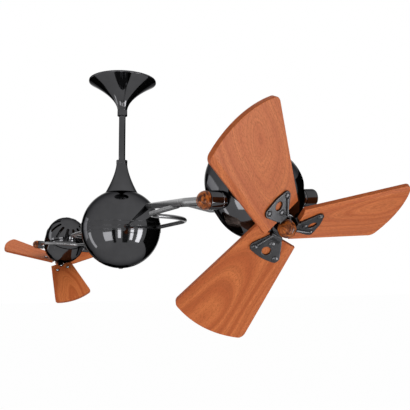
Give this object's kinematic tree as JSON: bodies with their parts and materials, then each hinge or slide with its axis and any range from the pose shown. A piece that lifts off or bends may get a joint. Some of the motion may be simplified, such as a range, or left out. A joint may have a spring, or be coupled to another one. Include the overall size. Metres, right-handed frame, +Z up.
{
  "type": "twin head ceiling fan",
  "caption": "Ceiling fan with two tilting cage-like motor heads on curved arms that turn together about a downrod ball, each head driving fan-shaped wooden blades.",
  "frame": {"origin": "centre of the ceiling bracket's top face, in the ceiling plane, on the downrod's axis", "axes": "+Z up into the ceiling, along the downrod; +X from the downrod towards the pivot of head a at rest; +Y completes the right-handed frame"},
  "size_m": [1.2962, 0.3, 0.4579],
  "materials": {
    "black_nickel": "mirror-polished black nickel plate",
    "bright_steel": "bright zinc and ground steel",
    "grey_casting": "as-cast, unpainted",
    "copper_rings": "turned",
    "motor_copper": "varnished windings",
    "motor_iron": "ground laminations",
    "black_plastic": "moulded, matt",
    "blade_wood": "red mahogany, satin lacquer, darker edges",
    "burl_wood": "dark burl, gloss lacquer"
  },
  "bodies": {
    "root": {"ceiling_bracket": "bright_steel", "canopy": "black_nickel", "canopy_collar": "black_nickel", "collar_screws": "bright_steel", "downrod": "black_nickel", "rod_pins": "bright_steel", "lower_collar": "black_nickel", "bell_cone": "black_nickel", "spindle": "bright_steel", "spindle_nut": "bright_steel", "slip_rings": "copper_rings"},
    "carriage": {"upper_shell": "black_nickel", "lower_shell": "black_nickel", "equator_band": "black_nickel", "arm_carrier": "grey_casting", "carriage_bearings": "bright_steel", "brush_holder": "black_plastic", "stay_screw": "black_nickel", "stay_strap": "bright_steel", "run_capacitors": "black_plastic", "main_arm_a": "black_nickel", "main_arm_b": "black_nickel", "scroll_brace_a": "black_nickel", "scroll_brace_b": "black_nickel", "yoke_a": "black_nickel", "yoke_b": "black_nickel", "pivot_barrels": "black_nickel", "friction_washers": "bright_steel"},
    "head_a": {"rear_dome_a": "black_nickel", "front_bowl_a": "black_nickel", "trunnions_a": "black_nickel", "stator_a": "motor_copper", "head_bearings_a": "bright_steel", "housing_screws_a": "bright_steel", "pivot_finials_a": "burl_wood"},
    "rotor_a": {"motor_shaft_a": "bright_steel", "rotor_core_a": "motor_iron", "blade_hub_a": "black_nickel", "hub_ball_a": "burl_wood", "blade_irons_a": "black_nickel", "blade_fasteners_a": "bright_steel", "blade_a1": "blade_wood", "blade_a2": "blade_wood", "blade_a3": "blade_wood"},
    "head_b": {"rear_dome_b": "black_nickel", "front_bowl_b": "black_nickel", "trunnions_b": "black_nickel", "stator_b": "motor_copper", "head_bearings_b": "bright_steel", "housing_screws_b": "bright_steel", "pivot_finials_b": "burl_wood"},
    "rotor_b": {"motor_shaft_b": "bright_steel", "rotor_core_b": "motor_iron", "blade_hub_b": "black_nickel", "hub_ball_b": "burl_wood", "blade_irons_b": "black_nickel", "blade_fasteners_b": "bright_steel", "blade_b1": "blade_wood", "blade_b2": "blade_wood", "blade_b3": "blade_wood"}
  },
  "joints": [
    {"name": "axial_rotation", "type": "hinge", "parent": "root", "child": "carriage", "pos_m": [0, 0, -0.294], "axis": [0, 0, 1], "continuous": true},
    {"name": "tilt_a", "type": "hinge", "parent": "carriage", "child": "head_a", "pos_m": [0.53, 0, -0.302], "axis": [0, 0.9976, 0.0698], "range_deg": [-130, 50]},
    {"name": "tilt_b", "type": "hinge", "parent": "carriage", "child": "head_b", "pos_m": [-0.53, 0, -0.302], "axis": [0, -0.9976, 0.0698], "range_deg": [-135, 45]},
    {"name": "spin_a", "type": "hinge", "parent": "head_a", "child": "rotor_a", "pos_m": [0.53, 0, -0.302], "axis": [0.766, 0.0448, -0.6412], "continuous": true},
    {"name": "spin_b", "type": "hinge", "parent": "head_b", "child": "rotor_b", "pos_m": [-0.53, 0, -0.302], "axis": [-0.7071, -0.0493, -0.7054], "continuous": true}
  ]
}
